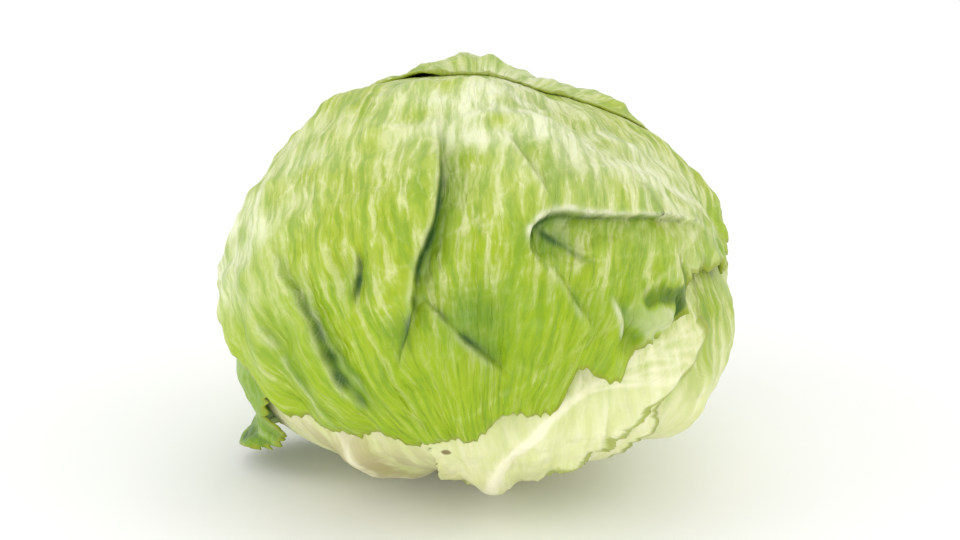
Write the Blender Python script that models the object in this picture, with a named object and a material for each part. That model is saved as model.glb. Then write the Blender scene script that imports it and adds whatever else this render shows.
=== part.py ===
"""A whole head of iceberg lettuce, as trimmed and sold, standing on its cut stem.

The head is a heart of packed leaves on a short stem, wrapped in seven loose outer leaves. It
leans a little to the left. Lengths are in metres and +Z is up. The origin is the centre of the
stem's cut face, which the head stands on. Places on the head are directions from its middle,
as degrees of azimuth and elevation: azimuth 0 is the front (-Y) and 90 the right (+X), and
elevation 90 is the crown.
"""

import math

import bpy
import numpy as np

# The head's driving dimensions
HEART_RADIUS = 0.0735
HEART_HALF_HEIGHT = 0.0590
HEART_CENTRE_HEIGHT = 0.0665  # from the cut face, along the leaning axis
LEAN = math.radians(4.5)  # the crown leans to -X
HEAD_RADIUS = 0.078  # turns an angle seen from the heart's centre into a length on the leaves
STEM_ANGLE = math.radians(13.0)  # half the angle that the stem takes up, seen from the centre

# The leaves' driving dimensions
BLADE = 0.0009  # thickness between the ribs
BLADE_EDGE = 0.0007
LEAF_GAP = 0.00125  # air between one leaf and the next
STEM_GAP = 0.0012
STEP_WIDTH = math.radians(13.0)  # over which a leaf climbs the edge of the one under it
EDGE_CLEARANCE = math.radians(3.5)  # an edge's own lobes, which the leaf above clears
RIB_SPREAD = 2.2  # a rib's section is the bell curve exp(-RIB_SPREAD (distance / width)^2)
PRESSED_WIDTH = 1.6  # a leaf bridges the ribs under it, as if they were this much wider
FOLD_TURN = 0.0012  # half the width over which a fold drops from its lip

# Broad swells and hollows of the whole head: azimuth, elevation, width, share of the radius
SWELLS = (
    (-78, 42, 30, -0.035),
    (76, 54, 35, -0.105),
    (115, 68, 30, -0.080),
    (90, 21, 16, -0.045),
    (64, -34, 32, 0.120),
    (-80, -36, 27, 0.145),
    (-20, -40, 30, 0.030),
    (150, 20, 45, 0.015),
    (90, -86, 34, -0.190),
    (-125, 58, 22, 0.035),
    (150, 68, 20, -0.020),
)

# From the leaning head's own axes to the world's
TILT = np.array(
    [
        [math.cos(LEAN), 0.0, -math.sin(LEAN)],
        [0.0, 1.0, 0.0],
        [math.sin(LEAN), 0.0, math.cos(LEAN)],
    ]
)


def direction(azimuth, elevation):
    """The unit vectors at angles given in degrees."""
    azimuth = np.radians(azimuth)
    elevation = np.radians(elevation)
    level = np.cos(elevation)
    return np.stack(
        [level * np.sin(azimuth), -level * np.cos(azimuth), np.sin(elevation)], axis=-1
    )


def smooth_step(x):
    """0 below 0, 1 above 1, and 3x^2 - 2x^3 between."""
    x = np.clip(x, 0.0, 1.0)
    return x * x * (3.0 - 2.0 * x)


def angle_between(directions, one):
    return np.arccos(np.clip(directions @ one, -1.0, 1.0))


def head_point(directions, height):
    """The heart's surface under each direction, raised by height along that surface's normal.

    The heart is a leaning ellipsoid, its radius scaled by 1 plus a bell curve for each swell.
    """
    axes = np.array([HEART_RADIUS, HEART_RADIUS, HEART_HALF_HEIGHT])
    scale = np.ones(directions.shape[:-1])
    for azimuth, elevation, width, amount in SWELLS:
        away = angle_between(directions, direction(azimuth, elevation))
        scale += amount * np.exp(-((away / math.radians(width)) ** 2))
    upright = directions @ TILT
    normal = upright / axes
    normal /= np.linalg.norm(normal, axis=-1, keepdims=True)
    point = upright * axes * scale[..., None] + normal * height[..., None]
    return (point + np.array([0.0, 0.0, HEART_CENTRE_HEIGHT])) @ TILT.T


def smooth_line(points, steps=6):
    """Unit vectors along a smooth line through points given as azimuth and elevation."""
    knots = np.array([direction(*p) for p in points])
    knots = np.vstack([2 * knots[0] - knots[1], knots, 2 * knots[-1] - knots[-2]])
    line = []
    for a, b, c, d in zip(knots, knots[1:], knots[2:], knots[3:]):
        for t in np.arange(steps) / steps:
            bend = (2 * a - 5 * b + 4 * c - d) * t**2 + (3 * b - a - 3 * c + d) * t**3
            line.append(0.5 * (2 * b + (c - a) * t + bend))
    line.append(knots[-2])
    line = np.array(line)
    return line / np.linalg.norm(line, axis=1, keepdims=True)


def distance_to_line(directions, line):
    """How far each direction is from a line of unit vectors, in metres on the leaves.

    Also which side it is on, 1 for the left of someone who walks the line and -1 for the right,
    and how far along it, from 0 to 1.
    """
    nearest = np.full(directions.shape[:-1], 9.0)
    along = np.zeros(directions.shape[:-1])
    side = np.ones(directions.shape[:-1])
    count = len(line) - 1
    for i in range(count):
        start, run = line[i], line[i + 1] - line[i]
        share = np.clip(((directions - start) @ run) / (run @ run), 0.0, 1.0)
        away = np.linalg.norm(directions - start - share[..., None] * run, axis=-1)
        closer = away < nearest
        along = np.where(closer, (i + share) / count, along)
        side = np.where(closer, np.sign(directions @ np.cross(start, run)), side)
        nearest = np.where(closer, away, nearest)
    return nearest * HEAD_RADIUS, side, along


def bell(x):
    return np.exp(-(x**2))


class Leaf:
    """One wrapper leaf: a curved disc round a centre, with a rib that runs up from the stem.

    A place on it is a bearing round the centre, 0 towards the crown and growing clockwise as
    seen from outside, and an angle away from the centre. Its outline is a list of directions,
    or of bearings with the reach at each, in degrees. It is cut back where it meets the stem.
    """

    def __init__(self, name, centre, rib, outline=None, reaches=None, rays=44, rings=8, seed=1,
                 dense=(180, 0.30), lift=0.0030, waves=9, puff=0.0006, pleats=0.0005,
                 fan=(90, -83), folds=(), flare=None, rib_height=0.0030, rib_width=0.0135,
                 looseness=0.0, ring_power=0.9):
        self.name = name
        self.centre = direction(*centre)
        up = np.array([0.0, 0.0, 1.0])
        self.up = up - (up @ self.centre) * self.centre
        self.up /= np.linalg.norm(self.up)
        self.right = np.cross(self.up, self.centre)
        self.rib = smooth_line(rib)
        self.rib_height = rib_height
        self.rib_width = rib_width
        self.rays = rays
        self.rings = rings
        self.ring_power = ring_power  # below 1 it sets the rings closer towards the edge
        self.seed = seed
        self.dense = math.radians(dense[0]), dense[1]
        self.lift = lift
        self.waves = waves
        self.puff = puff
        self.looseness = looseness
        self.pleats = pleats
        self.fan = direction(*fan)
        self.folds = [(smooth_line(line), *sizes) for line, *sizes in folds]
        self.flare = flare
        if outline:
            bearing, reach = self.place(direction(*np.array(outline, float).T))
            order = np.argsort(bearing)
            self.outline = np.stack([bearing[order], reach[order]])
        else:
            self.outline = np.radians(np.array(reaches, float)).T

    def place(self, directions):
        """The bearing, from 0 to 2 pi, and the angle from the centre, of each direction."""
        bearing = np.arctan2(directions @ self.right, directions @ self.up) % (2 * math.pi)
        return bearing, angle_between(directions, self.centre)

    def direction_at(self, bearing, away):
        """The unit vectors at these bearings and angles from the centre."""
        heading = np.sin(bearing)[..., None] * self.right + np.cos(bearing)[..., None] * self.up
        return np.cos(away)[..., None] * self.centre + np.sin(away)[..., None] * heading

    def ray_bearings(self):
        """The bearings of the mesh's rays, closer together round the bearing that needs it."""
        turn = np.arange(self.rays) * (2 * math.pi / self.rays)
        where, strength = self.dense
        return turn - strength * np.sin(turn - where)

    def smooth_reach(self, bearing):
        """The outline without its lobes: a cubic through the outline's points, round the leaf."""
        knots, reach = self.outline
        turn = 2 * math.pi
        bearing = bearing % turn
        knots = np.concatenate([knots[-2:] - turn, knots, knots[:2] + turn])
        reach = np.concatenate([reach[-2:], reach, reach[:2]])
        slope = (reach[2:] - reach[:-2]) / (knots[2:] - knots[:-2])
        inner, value = knots[1:-1], reach[1:-1]
        i = np.clip(np.searchsorted(inner, bearing, side="right") - 1, 0, len(inner) - 2)
        width = inner[i + 1] - inner[i]
        t = (bearing - inner[i]) / width
        return (
            value[i] * (1 + 2 * t) * (1 - t) ** 2
            + slope[i] * width * t * (1 - t) ** 2
            + value[i + 1] * t * t * (3 - 2 * t)
            + slope[i + 1] * width * t * t * (t - 1)
        )

    def stem_reach(self, bearing):
        """The angle at which a ray meets the circle round the stem, or a turn where it misses.

        On a sphere, cos(stem) = K cos(reach - middle), with K and middle from the stem's place.
        """
        stem_bearing, stem_away = self.place(TILT @ np.array([0.0, 0.0, -1.0]))
        side = np.sin(stem_away) * np.cos(bearing - stem_bearing)
        middle = np.arctan2(side, np.cos(stem_away))
        share = math.cos(STEM_ANGLE) / np.hypot(side, np.cos(stem_away))
        met = middle - np.arccos(np.clip(share, -1.0, 1.0))
        return np.where((share <= 1.0) & (side > 0), met, 2 * math.pi)

    def edge_waves(self, bearing, counts, seed):
        """Sines round the edge, with seeded phases, that add up to between -1 and 1."""
        phases = np.random.default_rng(seed).uniform(0, 2 * math.pi, len(counts))
        shares = 1.0 / (1.0 + 0.35 * np.arange(len(counts)))
        waves = sum(s * np.sin(n * bearing + p) for n, p, s in zip(counts, phases, shares))
        return waves / shares.sum()

    def reach(self, bearing):
        """The outline with its lobes and jagged teeth, cut back at the stem."""
        lobes = math.radians(2.2) * self.edge_waves(bearing, (7, 11, 17), self.seed)
        teeth = math.radians(1.2) * self.edge_waves(bearing, (23, 31), self.seed + 50)
        return np.minimum(self.smooth_reach(bearing) + lobes + teeth, self.stem_reach(bearing))

    def cover(self, directions):
        """1 where this leaf lies, falling to 0 over the step past its edge.

        The distance past the edge is square to it: the angle past it along the ray, over the
        square root of 1 plus the square of the edge's slope against the ray.
        """
        bearing, away = self.place(directions)
        past = away - self.smooth_reach(bearing)
        step = 0.01
        rise = (self.smooth_reach(bearing + step) - self.smooth_reach(bearing)) / step
        past /= np.sqrt(1.0 + (rise / np.maximum(np.sin(away), 0.3)) ** 2)
        return 1.0 - smooth_step((past - EDGE_CLEARANCE) / STEP_WIDTH)

    def thickness(self, directions, widened=1.0):
        """The blade and the rib on it, a bell curve that gets lower and narrower upwards."""
        away, _, along = distance_to_line(directions, self.rib)
        width = self.rib_width * (1.0 - 0.75 * along) * widened
        height = self.rib_height * (1.0 - along) ** 0.8
        return BLADE + height * np.exp(-RIB_SPREAD * (away / width) ** 2)

    def relief(self, directions):
        """The free leaf's own form: broad pleats that fan out, and sharp folds.

        A fold rises in a bell curve to its lip on its left side and drops by a second, narrower
        bell curve on its right.
        """
        axis = self.fan
        side = np.cross(axis, np.array([0.31, 0.95, 0.0]))
        side /= np.linalg.norm(side)
        bearing = np.arctan2(directions @ np.cross(axis, side), directions @ side)
        spread = np.sin(angle_between(directions, axis))
        pleats = self.edge_waves(bearing, (9, 14, 19), self.seed + 20)
        total = self.puff + self.pleats * spread * pleats
        for line, lip, lip_width, drop, drop_width in self.folds:
            away, side, along = distance_to_line(directions, line)
            fade = smooth_step(along / 0.25) * smooth_step((1 - along) / 0.25)
            signed = away * side
            turned = smooth_step(0.5 + 0.5 * signed / FOLD_TURN)
            rise = lip * bell(away / lip_width)
            fall = -drop * bell(away / drop_width)
            total += fade * (turned * rise + (1 - turned) * fall)
        return np.maximum(total, 0.0)


def layer(leaves, index, directions):
    """A leaf's height over the heart where it rests, what it lifts by, and its thickness.

    It rests on the leaves under it, each counted where it lies. Where no other leaf presses
    on it, its edge lifts in waves and its pleats and folds rise.
    """
    leaf = leaves[index]
    rest = np.full(directions.shape[:-1], LEAF_GAP + leaf.looseness)
    for under in leaves[:index]:
        room = under.thickness(directions, PRESSED_WIDTH) + under.looseness + LEAF_GAP
        rest += under.cover(directions) * room
    free = np.ones(directions.shape[:-1])
    for over in leaves[index + 1 :]:
        free *= 1.0 - over.cover(directions)
    bearing, away = leaf.place(directions)
    share = away / leaf.reach(bearing)
    off_stem = smooth_step((angle_between(directions, -TILT[:, 2]) - STEM_ANGLE) / 0.45)
    edge = smooth_step((share - 0.72) / 0.28) ** 2
    wave = 0.5 + 0.5 * leaf.edge_waves(bearing, (leaf.waves, 2 * leaf.waves - 1), leaf.seed + 9)
    lift = leaf.relief(directions) * (1.0 - 0.75 * edge) + leaf.lift * edge * wave
    thickness = leaf.thickness(directions)
    thinned = smooth_step((share - 0.9) / 0.1) * off_stem
    return rest, free * off_stem * lift, thickness + (BLADE_EDGE - thickness) * thinned


def leaf_points(leaves, index, directions, rest, above):
    """Points of a leaf that rests at one height, raised above that by another.

    A flare bends what hangs below a level outwards from the head: down the head's side to the
    level, then round an arc until it has turned by the flare's angle, then straight on.
    """
    points = head_point(directions, rest + above)
    if leaves[index].flare is None:
        return points
    azimuth_0, level, spread, radius, turn = leaves[index].flare
    azimuth = np.degrees(np.arctan2(directions[..., 0], -directions[..., 1]))
    elevation = np.degrees(np.arcsin(np.clip(directions[..., 2], -1.0, 1.0)))
    foot_directions = direction(azimuth, np.full(azimuth.shape, float(level)))
    foot_rest, _, _ = layer(leaves, index, foot_directions)
    foot = head_point(foot_directions, foot_rest)
    down = head_point(direction(azimuth, np.full(azimuth.shape, level - 1.0)), foot_rest) - foot
    down /= np.linalg.norm(down, axis=-1, keepdims=True)
    out = head_point(foot_directions, foot_rest + 0.001) - foot
    out -= np.einsum("...i,...i", out, down)[..., None] * down
    out /= np.linalg.norm(out, axis=-1, keepdims=True)
    past = np.radians(np.maximum(level - elevation, 0.0)) * HEAD_RADIUS
    angle = np.minimum(past / radius, math.radians(turn))[..., None]
    straight = past[..., None] - angle * radius
    bent = foot + down * (radius * np.sin(angle) + straight * np.cos(angle))
    bent += out * (radius * (1.0 - np.cos(angle)) + straight * np.sin(angle))
    bent += (out * np.cos(angle) - down * np.sin(angle)) * above[..., None]
    turned = (azimuth - azimuth_0 + 180.0) % 360.0 - 180.0
    amount = (bell(turned / spread) * (past > 0))[..., None]
    return points + amount * (bent - points)


def leaf_faces(leaves, index):
    """The outer and inner points of a leaf, ring by ring from its centre to its edge."""
    leaf = leaves[index]
    shares = np.linspace(0.0, 1.0, leaf.rings + 1) ** leaf.ring_power
    bearing = np.broadcast_to(leaf.ray_bearings(), (leaf.rings + 1, leaf.rays))
    away = shares[:, None] * leaf.reach(bearing)
    directions = leaf.direction_at(bearing, away)
    rest, lift, thickness = layer(leaves, index, directions)
    inner = leaf_points(leaves, index, directions, rest, lift)
    outer = leaf_points(leaves, index, directions, rest, lift + thickness)
    return outer, inner


def new_object(name, points, faces, skin):
    mesh = bpy.data.meshes.new(name)
    mesh.from_pydata([tuple(map(float, p)) for p in points], [], faces)
    mesh.validate()
    mesh.shade_smooth()
    mesh.materials.append(skin)
    made = bpy.data.objects.new(name, mesh)
    bpy.context.scene.collection.objects.link(made)
    return made


def make_leaf(leaves, index, skin):
    """A closed shell: both faces of a disc of rings, alike in triangles, and the rim between."""
    outer, inner = leaf_faces(leaves, index)
    rings, rays = outer.shape[0] - 1, outer.shape[1]
    points = [outer[0, :1], outer[1:].reshape(-1, 3), inner[0, :1], inner[1:].reshape(-1, 3)]
    per_face = 1 + rings * rays

    def at(ring, ray):
        return 0 if ring == 0 else 1 + (ring - 1) * rays + ray % rays

    faces = []
    for ray in range(rays):
        faces.append((at(0, 0), at(1, ray + 1), at(1, ray)))
        for ring in range(1, rings):
            a, b = at(ring, ray), at(ring, ray + 1)
            c, d = at(ring + 1, ray + 1), at(ring + 1, ray)
            faces.append((a, b, c))
            faces.append((a, c, d))
    under = [(a + per_face, c + per_face, b + per_face) for a, b, c in faces]
    rim = []
    for ray in range(rays):
        a, b = at(rings, ray), at(rings, ray + 1)
        rim.append((a, b, b + per_face))
        rim.append((a, b + per_face, a + per_face))
    return new_object(leaves[index].name, np.concatenate(points), faces + under + rim, skin)


# The heart: packed leaves whose edges show as steps, raised from one surface by a formula
HEART_RAYS = 36
HEART_RINGS = 18
HEART_STEP = 0.0008
HEART_STEP_WIDTH = math.radians(6.0)
HEART_LEAVES = 6
HEART_LEAF_REACH = math.radians(74.0)
GOLDEN_ANGLE = 137.5


def heart_height(directions):
    """Each packed leaf adds a step where it lies, up to a waved edge; nothing stands higher."""
    height = np.full(directions.shape[:-1], -HEART_STEP * 0.5 * HEART_LEAVES)
    turn = np.arctan2(directions[..., 1], directions[..., 0])
    for i in range(HEART_LEAVES):
        away = angle_between(directions, direction(60 + i * GOLDEN_ANGLE, 12))
        edge = HEART_LEAF_REACH + 0.05 * np.sin(9 * turn + i)
        height += HEART_STEP * (1 - smooth_step((away - edge) / HEART_STEP_WIDTH))
    return np.minimum(height, 0.0)


def make_heart(skin):
    """A closed globe of rings from the crown to the underside, with the packed leaves' relief."""
    polar = np.linspace(0.0, math.pi, HEART_RINGS + 1)[:, None]
    turn = np.arange(HEART_RAYS) * (2 * math.pi / HEART_RAYS)
    parts = np.sin(polar) * np.sin(turn), -np.sin(polar) * np.cos(turn), np.cos(polar)
    directions = np.stack(np.broadcast_arrays(*parts), axis=-1) @ TILT.T
    grid = head_point(directions, heart_height(directions))
    points = np.concatenate([grid[0, :1], grid[1:-1].reshape(-1, 3), grid[-1, :1]])
    last = len(points) - 1

    def at(ring, ray):
        if ring == 0:
            return 0
        return last if ring == HEART_RINGS else 1 + (ring - 1) * HEART_RAYS + ray % HEART_RAYS

    faces = []
    for ray in range(HEART_RAYS):
        faces.append((at(0, 0), at(1, ray), at(1, ray + 1)))
        for ring in range(1, HEART_RINGS - 1):
            a, b = at(ring, ray), at(ring, ray + 1)
            c, d = at(ring + 1, ray + 1), at(ring + 1, ray)
            faces.append((a, d, c))
            faces.append((a, c, b))
        faces.append((at(HEART_RINGS - 1, ray), last, at(HEART_RINGS - 1, ray + 1)))
    return new_object("heart", points, faces, skin)


# The stem: a short stump, wider at the knife's cut, that the leaves grow from
STEM_SIDES = 32
STEM_BEVEL = 0.0010


def make_stem(skin):
    """A stump that stays STEM_GAP inside the leaves' ends, cut level at the bottom.

    Its sides lean with the head: each runs from a ring under the heart, along a cone, to
    where it meets the cutting plane.
    """
    turn = np.arange(STEM_SIDES) * (2 * math.pi / STEM_SIDES)
    ring = np.stack([np.cos(turn), np.sin(turn), np.zeros(STEM_SIDES)], axis=1)
    edge = math.sin(STEM_ANGLE) * ring - np.array([0.0, 0.0, math.cos(STEM_ANGLE)])
    ends = head_point(edge @ TILT.T, np.zeros(STEM_SIDES)) @ TILT
    lower = head_point(edge @ TILT.T, np.full(STEM_SIDES, 0.010)) @ TILT
    cone = lower - ends
    cone /= np.abs(cone[:, 2:])
    under = TILT @ np.array([0.0, 0.0, -1.0])
    top_height = (head_point(under[None], np.zeros(1)) @ TILT)[0, 2] - STEM_GAP
    inset = STEM_GAP * ring
    top = ends + cone * (ends[:, 2:] - top_height) - inset
    top, slope = top @ TILT.T, cone @ TILT.T
    levels = []
    for height, shrink in ((0.0, STEM_BEVEL), (STEM_BEVEL, 0.0)):
        levels.append(top + slope * ((height - top[:, 2:]) / slope[:, 2:]) - shrink * ring)
    levels.append(top)
    points = np.concatenate(levels)
    faces = [tuple(range(STEM_SIDES - 1, -1, -1))]
    for start in (0, STEM_SIDES):
        for side in range(STEM_SIDES):
            a, b = start + side, start + (side + 1) % STEM_SIDES
            faces.append((a, b, b + STEM_SIDES, a + STEM_SIDES))
    faces.append(tuple(range(2 * STEM_SIDES, 3 * STEM_SIDES)))
    return new_object("stem", points, faces, skin)


# The wrapper leaves, from the innermost to the outermost
ROUND = ((0, 88), (45, 86), (90, 84), (135, 84), (180, 90), (225, 84), (270, 84), (315, 86))
FRONT_LEFT = ((0, 80), (45, 80), (90, 82), (135, 84), (180, 90), (225, 84), (270, 84), (315, 80))
BACK_LEFT = (
    (0, 86), (45, 90), (66, 98), (100, 98), (110, 96), (119, 93), (128, 89), (135, 84),
    (139, 79), (142, 75), (147, 70), (155, 66), (164, 66), (171, 70), (177, 76), (184, 86),
    (225, 84), (270, 78), (315, 82),
)
BACK = (
    (4, 68), (15, 75), (28, 72), (61, 66), (100, 68), (123, 72), (150, 80), (180, 96),
    (225, 78), (267, 50), (310, 46), (335, 50), (350, 57),
)
FRONT = (
    (4, 76), (20, 75), (40, 70), (58, 63), (71, 55), (83, 46), (90, 41), (97, 34), (106, 30),
    (115, 28), (135, 27.5), (154, 31), (164, 37), (171, 50), (176, 70), (182, 70), (187, 52),
    (196, 41), (211, 32), (230, 24), (261, 20), (294, 27), (316, 41), (334, 56), (350, 67),
)
CROWN = (
    (-105, -12), (-92, -8), (-80, -8), (-71, -9.5), (-64, -13), (-57, -17.5), (-49, -22),
    (-38, -24), (-24, -22.5), (-14, -24), (-7, -19.5), (-2, -19), (3, -12.5), (15, -12), (19.5, -5),
    (27, -5), (31, 0.5), (38, 4), (46, 8), (51, 13.5), (66, 11), (80, 6), (95, 14),
    (112, 28), (135, 42), (150, 30), (158, -8), (162, -46), (180, -82), (-150, -56),
    (-130, -34), (-117, -20),
)
# Folds: the line, then the height and width of the lip on its left and of the drop on its right
CREVICE = ((-17, -2), (-17.5, 8), (-18, 17), (-18, 25), (-16, 35), (-17.5, 46), (-24, 58), (-47, 72))
TUCK = ((13, 24), (9, 29), (9.5, 34.5), (17, 37.5), (30, 36), (45, 32.5), (60, 26.5), (71, 14))
LEFT_CREASE = ((-18, -23), (-27, -15), (-35, -6), (-46, 9), (-53, 14), (-67, 24))
RIGHT_CREASE = ((6, -5), (0, 1.5), (-6, 7.5), (-11.5, 13), (-18, 19))
SMALL_CREASE = ((-31, 11), (-32, 17), (-33.5, 22), (-35, 28))
CROWN_FOLDS = (
    (CREVICE, 0.0030, 0.019, 0.0034, 0.007),
    (TUCK, 0.0028, 0.015, 0.0030, 0.009),
    (LEFT_CREASE, 0.0016, 0.014, 0.0026, 0.006),
    (RIGHT_CREASE, 0.0012, 0.013, 0.0024, 0.007),
    (SMALL_CREASE, 0.0008, 0.008, 0.0018, 0.004),
)

LEAVES = [
    Leaf("wrapper_left_inner", (-95, 0), ((-95, -77), (-95, -30), (-95, 30)), reaches=ROUND,
         seed=11, rays=38, rings=7, rib_height=0.0018),
    Leaf("wrapper_right", (100, 2), ((100, -77), (100, -30), (98, 40)), reaches=ROUND, seed=12,
         puff=0.0014, pleats=0.0014),
    Leaf("wrapper_front_left", (-38, 0), ((-30, -77), (-40, -40), (-40, 30)),
         reaches=FRONT_LEFT, seed=13, puff=0.0012, pleats=0.0012),
    Leaf("wrapper_back_left", (-160, -2), ((-140, -77), (-152, -30), (-162, 40)),
         reaches=BACK_LEFT, puff=0.0012, pleats=0.0012, seed=14, rays=60, rings=11,
         dense=(141, 0.45), rib_height=0.0016, flare=(-92, -31, 20, 0.014, 66), ring_power=0.72),
    Leaf("wrapper_front", (6, -16), ((4, -77), (1, -50), (5, -33), (15, -15), (27, -5), (40, 4), (48, 24)),
         reaches=FRONT, seed=15, puff=0.0012, pleats=0.0010, lift=0.0024),
    Leaf("wrapper_crown", (-150, 78), ((178, -80), (-170, -20), (-150, 60)), outline=CROWN,
         seed=16, rays=80, rings=15, dense=(10, 0.20), fan=(180, 60), folds=CROWN_FOLDS,
         puff=0.0028, pleats=0.0014, lift=0.0034, waves=11, rib_height=0.0022, looseness=0.0004),
    Leaf("wrapper_back", (165, 8), ((140, -77), (160, -30), (166, 50)), reaches=BACK, seed=17,
         rays=50, rings=9, lift=0.0014, puff=0.0014, pleats=0.0014, rib_height=0.0034),
]

LEAF_GREEN = (0.42, 0.62, 0.12)
HEART_GREEN = (0.72, 0.76, 0.36)
STEM_CREAM = (0.86, 0.82, 0.62)


def material(name, colour, roughness):
    made = bpy.data.materials.new(name)
    made.use_nodes = True
    shader = made.node_tree.nodes["Principled BSDF"]
    shader.inputs["Base Color"].default_value = (*colour, 1.0)
    shader.inputs["Roughness"].default_value = roughness
    made.diffuse_color = (*colour, 1.0)
    return made


def main():
    for old in list(bpy.data.objects):
        bpy.data.objects.remove(old)
    make_stem(material("stem", STEM_CREAM, 0.6))
    make_heart(material("heart", HEART_GREEN, 0.5))
    leaf_skin = material("leaf", LEAF_GREEN, 0.42)
    for index in range(len(LEAVES)):
        make_leaf(LEAVES, index, leaf_skin)


main()
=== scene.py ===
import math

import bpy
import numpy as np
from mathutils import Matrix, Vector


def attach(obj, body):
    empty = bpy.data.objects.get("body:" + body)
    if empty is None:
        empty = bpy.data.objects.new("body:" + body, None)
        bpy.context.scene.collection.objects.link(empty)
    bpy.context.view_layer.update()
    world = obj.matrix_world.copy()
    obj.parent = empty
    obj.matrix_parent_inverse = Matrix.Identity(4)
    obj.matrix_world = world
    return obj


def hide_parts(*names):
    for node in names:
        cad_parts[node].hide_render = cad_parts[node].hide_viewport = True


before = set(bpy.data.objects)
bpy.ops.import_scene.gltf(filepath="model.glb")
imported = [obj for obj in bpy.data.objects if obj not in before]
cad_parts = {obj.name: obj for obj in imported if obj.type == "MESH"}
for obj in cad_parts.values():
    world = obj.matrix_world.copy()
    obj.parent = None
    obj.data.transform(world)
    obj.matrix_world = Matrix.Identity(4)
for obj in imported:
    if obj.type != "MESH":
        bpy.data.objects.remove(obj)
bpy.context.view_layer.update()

# A whole head of iceberg lettuce on its cut stem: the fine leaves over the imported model.
# Lengths are in metres and +Z is up. Places on the head are directions from its middle, as
# degrees of azimuth and elevation: azimuth 0 is the front (-Y), 90 the right (+X), elevation 90
# the crown.

# The stem
# The stump that every leaf grows from: crisp cream tissue, cut level with a knife when the head
# was picked. The cut has dried to a russet skin with a ring of darker vessels in it.

HEART_RADIUS = 0.0735
HEART_HALF_HEIGHT = 0.0590
HEART_CENTRE_HEIGHT = 0.0665
LEAN = math.radians(4.5)
HEAD_RADIUS = 0.078
STEM_ANGLE = math.radians(13.0)
STEM_GAP = 0.0012
STEM_SIDES = 160
STEM_BEVEL = 0.0010
CUT_RINGS = 34
SIDE_RINGS = 22
SAW_DEPTH = 0.00012
VESSEL_DIP = 0.00035
SCAR_HEIGHT = 0.00045
CREAM_TISSUE = (0.78, 0.72, 0.45)
STRAW_TISSUE = (0.62, 0.50, 0.24)
RUSSET = (0.55, 0.36, 0.16)
DARK_RUSSET = (0.25, 0.11, 0.04)

# Broad swells and hollows of the whole head: azimuth, elevation, width, share of the radius
SWELLS = (
    (-78, 42, 30, -0.035),
    (76, 54, 35, -0.105),
    (115, 68, 30, -0.080),
    (90, 21, 16, -0.045),
    (64, -34, 32, 0.120),
    (-80, -36, 27, 0.145),
    (-20, -40, 30, 0.030),
    (150, 20, 45, 0.015),
    (90, -86, 34, -0.190),
    (-125, 58, 22, 0.035),
    (150, 68, 20, -0.020),
)

# From the leaning head's own axes to the world's
TILT = np.array(
    [
        [math.cos(LEAN), 0.0, -math.sin(LEAN)],
        [0.0, 1.0, 0.0],
        [math.sin(LEAN), 0.0, math.cos(LEAN)],
    ]
)


def direction(azimuth, elevation):
    """The unit vectors at angles given in degrees."""
    azimuth = np.radians(azimuth)
    elevation = np.radians(elevation)
    level = np.cos(elevation)
    return np.stack(
        [level * np.sin(azimuth), -level * np.cos(azimuth), np.sin(elevation)], axis=-1
    )


def smooth_step(x):
    """0 below 0, 1 above 1, and 3x^2 - 2x^3 between."""
    x = np.clip(x, 0.0, 1.0)
    return x * x * (3.0 - 2.0 * x)


def bell(x):
    """The bell curve exp(-x^2): 1 at 0, and under 0.02 past 2 on either side."""
    return np.exp(-(x**2))


def angle_between(directions, one):
    """The angle from one unit vector to each of the others: the arc cosine of their product."""
    return np.arccos(np.clip(directions @ one, -1.0, 1.0))


def head_point(directions, height):
    """The heart's surface under each direction, raised by height along that surface's normal.

    The heart is a leaning ellipsoid, its radius scaled by 1 plus a bell curve for each swell.
    """
    axes = np.array([HEART_RADIUS, HEART_RADIUS, HEART_HALF_HEIGHT])
    scale = np.ones(directions.shape[:-1])
    for azimuth, elevation, width, amount in SWELLS:
        away = angle_between(directions, direction(azimuth, elevation))
        scale += amount * bell(away / math.radians(width))
    upright = directions @ TILT
    normal = upright / axes
    normal /= np.linalg.norm(normal, axis=-1, keepdims=True)
    point = upright * axes * scale[..., None] + normal * height[..., None]
    return (point + np.array([0.0, 0.0, HEART_CENTRE_HEIGHT])) @ TILT.T


def grain(points, size, seed, terms=24):
    """Smooth noise of about the given feature size: seeded plane waves, summed, near -1 to 1."""
    draw = np.random.default_rng(seed)
    total = np.zeros(points.shape[:-1])
    for _ in range(terms):
        way = draw.normal(size=3)
        way *= 2 * math.pi / (size * draw.uniform(0.7, 1.6) * np.linalg.norm(way))
        total += np.sin(points @ way + draw.uniform(0, 2 * math.pi))
    return total / math.sqrt(0.5 * terms) * 0.6


def new_piece(name, points, quads, triangles, fields):
    """A smooth-shaded mesh at the origin, with one or three numbers a point for each field."""
    mesh = bpy.data.meshes.new(name)
    corners = np.concatenate([quads.ravel(), triangles.ravel()]).astype(np.int32)
    starts = np.concatenate(
        [np.arange(len(quads)) * 4, quads.size + np.arange(len(triangles)) * 3]
    ).astype(np.int32)
    mesh.vertices.add(len(points))
    mesh.vertices.foreach_set("co", points.astype(np.float32).ravel())
    mesh.loops.add(len(corners))
    mesh.loops.foreach_set("vertex_index", corners)
    mesh.polygons.add(len(starts))
    mesh.polygons.foreach_set("loop_start", starts)
    mesh.update(calc_edges=True)
    mesh.validate()
    mesh.shade_smooth()
    for field, values in fields.items():
        kind, key = ("FLOAT", "value") if values.ndim == 1 else ("FLOAT_VECTOR", "vector")
        layer = mesh.attributes.new(name=field, type=kind, domain="POINT")
        layer.data.foreach_set(key, values.astype(np.float32).ravel())
    piece = bpy.data.objects.new(name, mesh)
    bpy.context.scene.collection.objects.link(piece)
    return piece


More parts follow.
